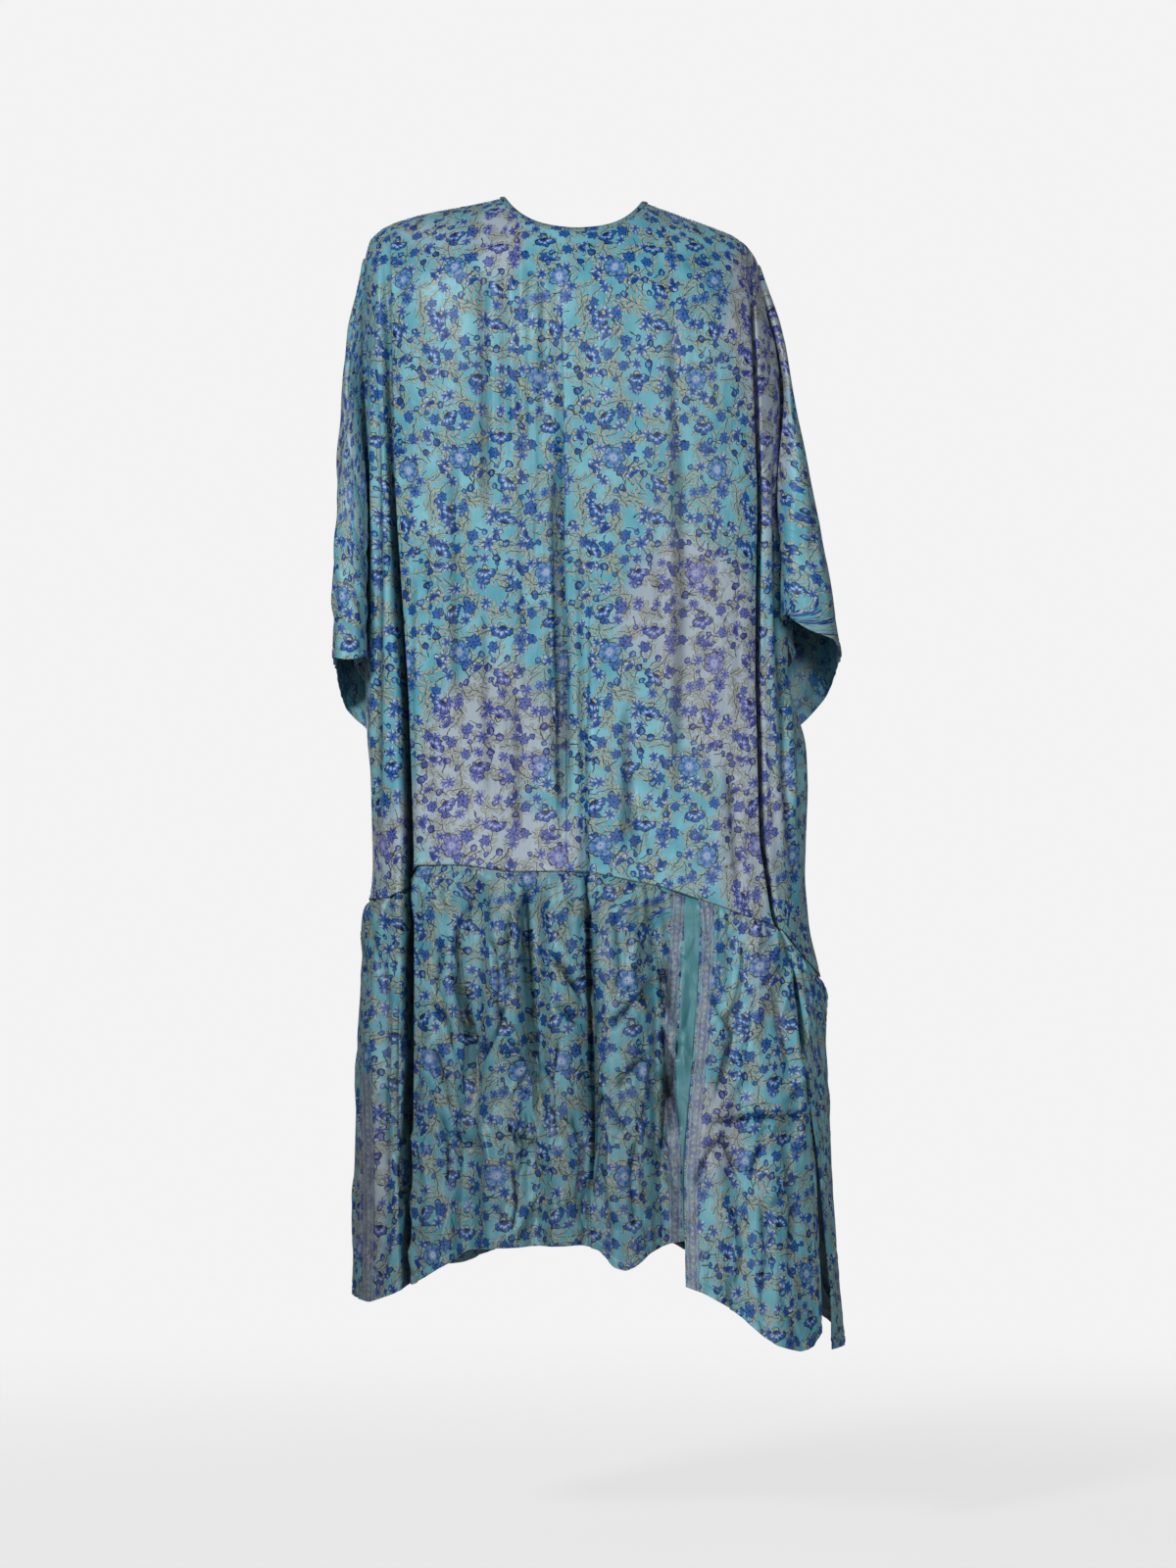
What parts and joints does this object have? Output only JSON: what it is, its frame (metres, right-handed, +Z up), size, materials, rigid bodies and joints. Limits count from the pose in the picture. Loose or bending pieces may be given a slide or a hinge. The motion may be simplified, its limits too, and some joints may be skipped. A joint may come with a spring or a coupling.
{
  "type": "kimono robe",
  "caption": "Open-front kimono-style robe of thin printed silk, hanging hollow as worn, with dropped elbow-length sleeves, a bound neck and a gathered tier split at the sides.",
  "frame": {"origin": "midway between the two neck points, on the line of the shoulders, where a wearer's neck and shoulders hold the robe up", "axes": "+Z up, the front faces -Y and the back faces +Y, and the wearer's left side is towards +X"},
  "size_m": [0.561, 0.3548, 1.255],
  "materials": {
    "printed_silk": "thin satin-faced silk, turquoise with a small blue and beige floral print and lilac dyed areas",
    "neck_binding": "the same silk, folded into a narrow stitched binding"
  },
  "bodies": {
    "root": {"back": "printed_silk", "front_left": "printed_silk", "front_right": "printed_silk", "neck_binding": "neck_binding", "sleeve_left": "printed_silk", "sleeve_right": "printed_silk", "tier_back": "printed_silk", "tier_back_right": "printed_silk", "tier_front_left": "printed_silk", "tier_front_right": "printed_silk"}
  },
  "joints": []
}
